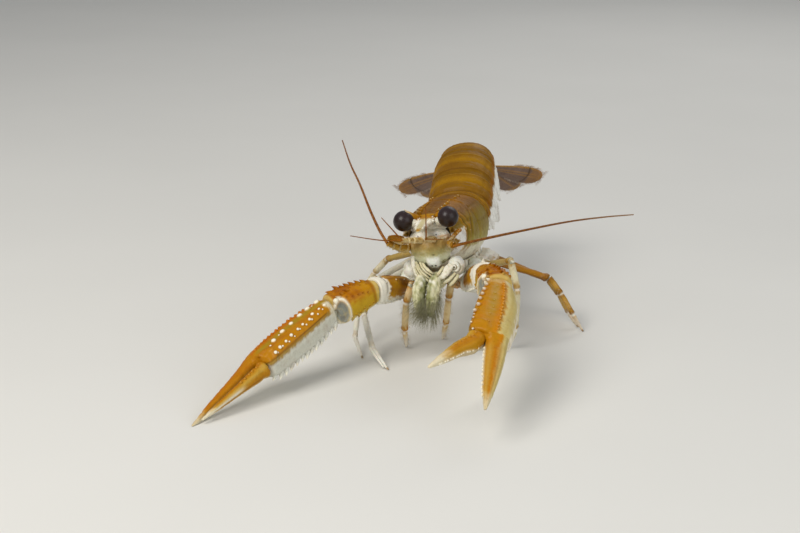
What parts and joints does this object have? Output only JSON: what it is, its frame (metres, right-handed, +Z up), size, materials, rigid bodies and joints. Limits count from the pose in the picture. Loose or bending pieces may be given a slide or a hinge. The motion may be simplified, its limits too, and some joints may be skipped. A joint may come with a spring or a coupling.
{
  "type": "norway lobster",
  "caption": "Life-size still model of a Norway lobster standing on its legs, claws reaching forward, tail fan spread behind.",
  "frame": {"origin": "centre of the bounding box's bottom, on the floor the feet rest on", "axes": "+Z up, -Y the way the head points, +X the animal's left"},
  "size_m": [0.127, 0.215, 0.0688],
  "materials": {
    "shell": "hard smooth shell, orange, satin gloss",
    "abdomen": "hard shell rings, amber orange with darker bands, satin gloss",
    "tail_fan": "thin shell plates, pinkish orange with a pale fringe",
    "pale_shell": "pale tan and white shell and mouthparts",
    "claw": "hard orange shell with white tubercles and pale undersides",
    "claw_finger": "hard orange shell fading to a white tip",
    "leg": "thin pinkish white shell with orange bands",
    "eye": "black and wet looking",
    "feeler": "fine red-brown rings"
  },
  "bodies": {
    "root": {"carapace": "shell", "rostrum": "shell", "antenna_base_L": "shell", "antenna_base_R": "shell", "antennal_scale_L": "shell", "antennal_scale_R": "shell", "antennule_L": "shell", "antennule_R": "shell", "abdomen_1": "abdomen", "abdomen_2": "abdomen", "abdomen_3": "abdomen", "abdomen_4": "abdomen", "abdomen_5": "abdomen", "abdomen_6": "abdomen", "telson": "tail_fan", "uropod_inner_L": "tail_fan", "uropod_inner_R": "tail_fan", "uropod_outer_L": "tail_fan", "uropod_outer_R": "tail_fan", "mouth": "pale_shell", "breast": "pale_shell", "face": "pale_shell", "maxilliped_L": "pale_shell", "maxilliped_R": "pale_shell", "eyestalk_L": "pale_shell", "eyestalk_R": "pale_shell", "cheliped_L_base": "claw", "cheliped_L_merus": "claw", "cheliped_L_carpus": "claw", "cheliped_L_propodus": "claw", "cheliped_R_base": "claw", "cheliped_R_merus": "claw", "cheliped_R_carpus": "claw", "cheliped_R_propodus": "claw", "cheliped_L_dactyl": "claw_finger", "cheliped_R_dactyl": "claw_finger", "leg_2_L_upper": "leg", "leg_2_L_lower": "leg", "leg_2_R_upper": "leg", "leg_2_R_lower": "leg", "leg_3_L_upper": "leg", "leg_3_L_lower": "leg", "leg_3_R_upper": "leg", "leg_3_R_lower": "leg", "leg_4_L_upper": "leg", "leg_4_L_lower": "leg", "leg_4_R_upper": "leg", "leg_4_R_lower": "leg", "leg_5_L_upper": "leg", "leg_5_L_lower": "leg", "leg_5_R_upper": "leg", "leg_5_R_lower": "leg", "eye_L": "eye", "eye_R": "eye", "antenna_L": "feeler", "antenna_R": "feeler"}
  },
  "joints": []
}
